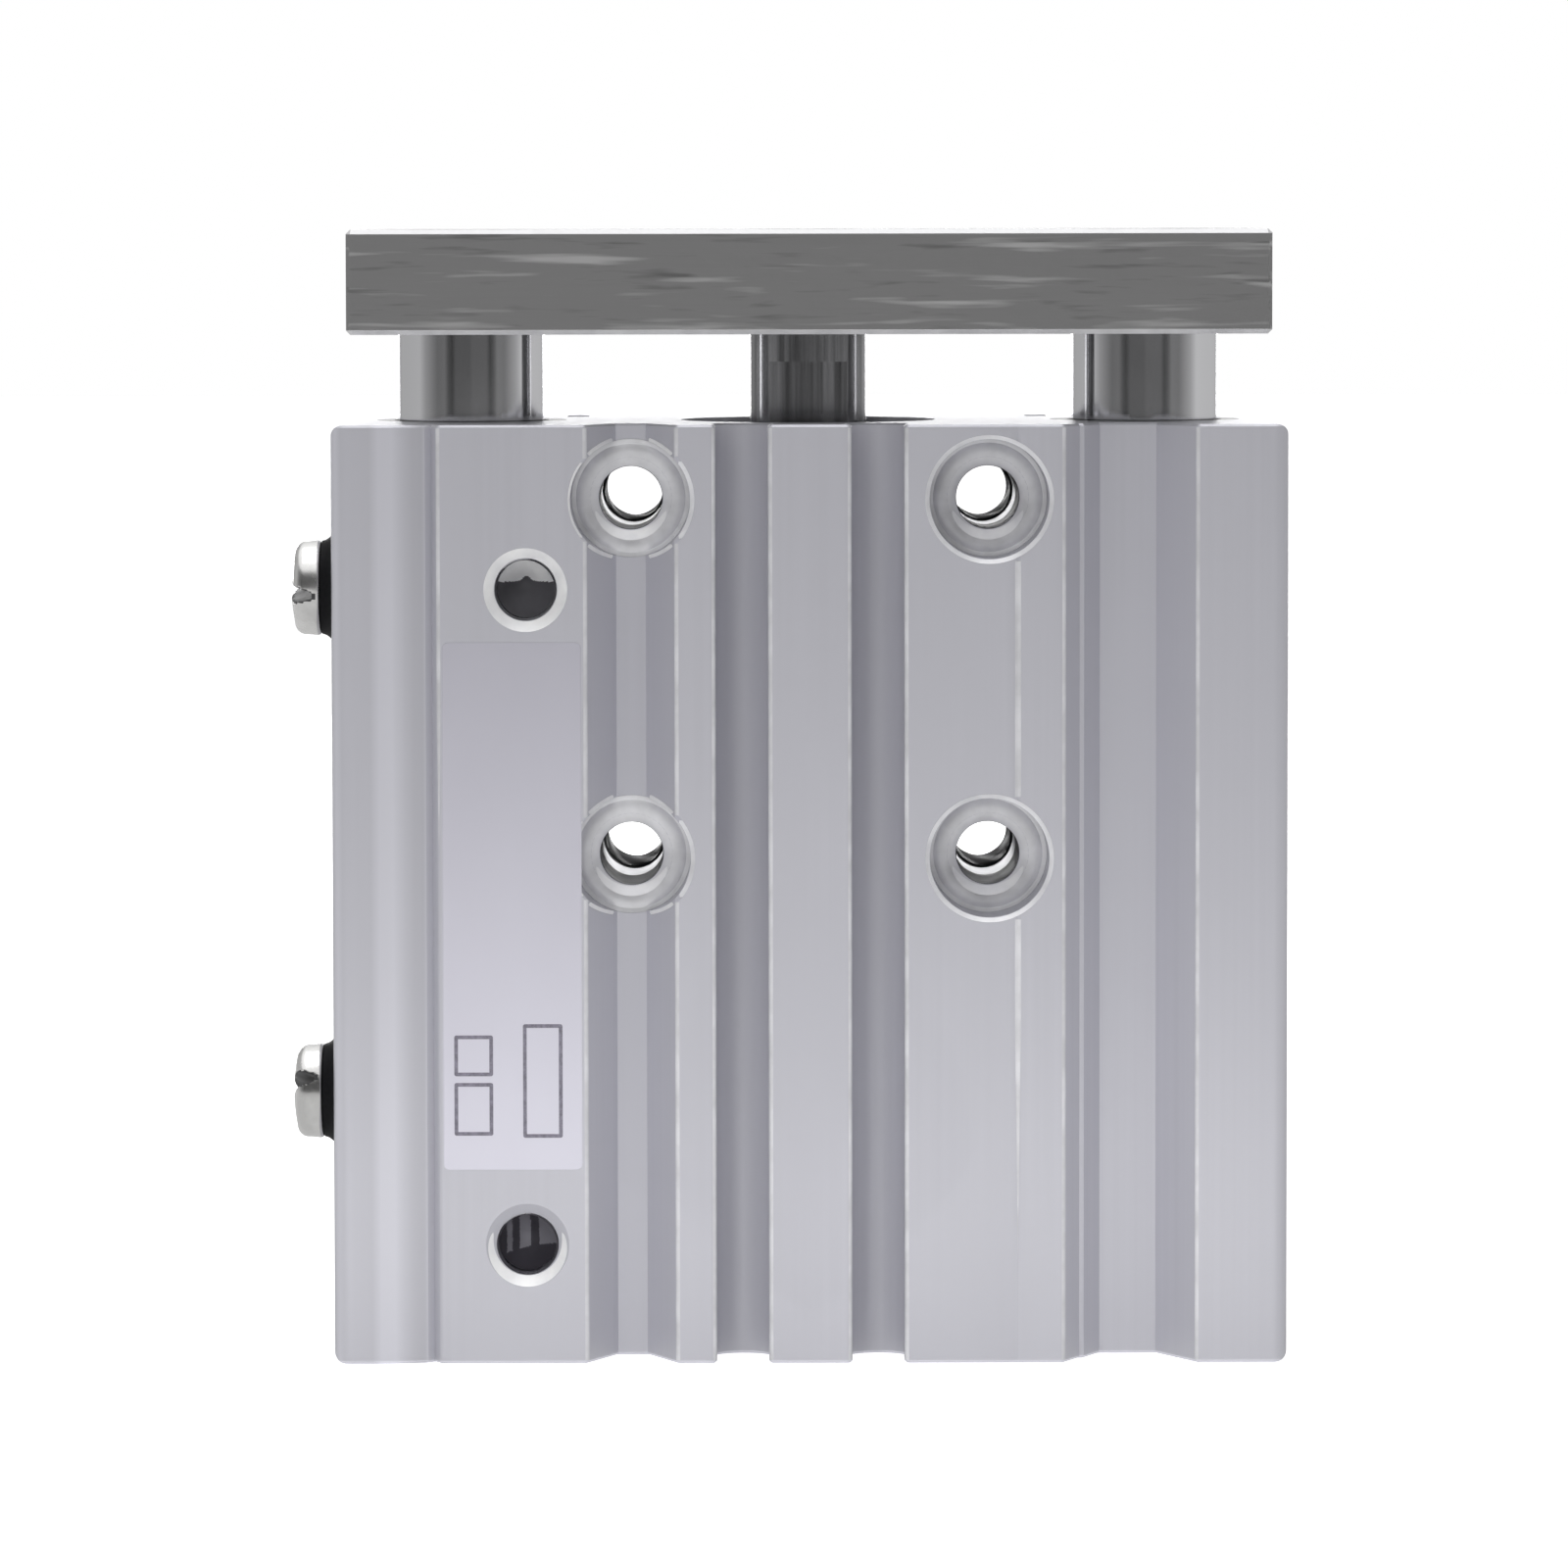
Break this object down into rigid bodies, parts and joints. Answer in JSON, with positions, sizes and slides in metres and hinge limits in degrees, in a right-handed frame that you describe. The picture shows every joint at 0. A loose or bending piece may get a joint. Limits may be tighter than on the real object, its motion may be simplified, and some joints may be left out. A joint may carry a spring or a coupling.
{
  "type": "guided pneumatic cylinder",
  "caption": "Compact guided air cylinder: a tool plate on guide rods and a piston rod slides out of an extruded aluminium body with sensor grooves, ports and mounting holes.",
  "frame": {"origin": "centre of the body's bottom face, on the piston axis", "axes": "+Z along the travel, from the body's bottom towards the tool plate; -Y out of the front face with the open ports; X across both guide rods"},
  "size_m": [0.0667, 0.03, 0.076],
  "materials": {
    "body_aluminium": "satin anodised",
    "cover_aluminium": "machined",
    "plate_steel": "dull, fine cross streaks",
    "guide_chrome": "polished",
    "rod_steel": "polished, drawn flats",
    "bolt_steel": "dull plated",
    "ring_steel": "spring steel",
    "plug_nickel": "bright nickel",
    "ball_steel": "polished",
    "seal_rubber": "matt",
    "gasket_rubber": "matt",
    "bumper_rubber": "matt",
    "magnet": "matt",
    "bush_bronze": "machined",
    "bearing_bronze": "machined",
    "felt": "soft",
    "holder_plastic": "matt"
  },
  "bodies": {
    "body": {"housing": "body_aluminium", "rod_collar": "cover_aluminium", "rod_bush": "bush_bronze", "rod_seal": "seal_rubber", "collar_gasket": "seal_rubber", "collar_retaining_ring": "ring_steel", "head_cover": "cover_aluminium", "head_gasket": "seal_rubber", "head_retaining_ring": "ring_steel", "slide_bearing_left_upper": "bearing_bronze", "slide_bearing_left_lower": "bearing_bronze", "slide_bearing_right_upper": "bearing_bronze", "slide_bearing_right_lower": "bearing_bronze", "felt_ring_left": "felt", "felt_ring_right": "felt", "felt_holder_left": "holder_plastic", "felt_holder_right": "holder_plastic", "port_plug_upper": "plug_nickel", "port_plug_lower": "plug_nickel", "plug_gasket_upper": "gasket_rubber", "plug_gasket_lower": "gasket_rubber", "passage_ball": "ball_steel"},
    "carriage": {"plate": "plate_steel", "guide_rod_left": "guide_chrome", "guide_rod_right": "guide_chrome", "piston_rod": "rod_steel", "piston": "cover_aluminium", "piston_seal": "seal_rubber", "magnet_ring": "magnet", "head_bumper": "bumper_rubber", "rod_bumper": "bumper_rubber", "stroke_spacer": "cover_aluminium", "plate_bolt_left": "bolt_steel", "plate_bolt_right": "bolt_steel", "plate_bolt_centre": "bolt_steel"}
  },
  "joints": [
    {"name": "rod_slide", "type": "slide", "parent": "body", "child": "carriage", "axis": [0, 0, 1], "range_m": [0, 0.025]}
  ]
}
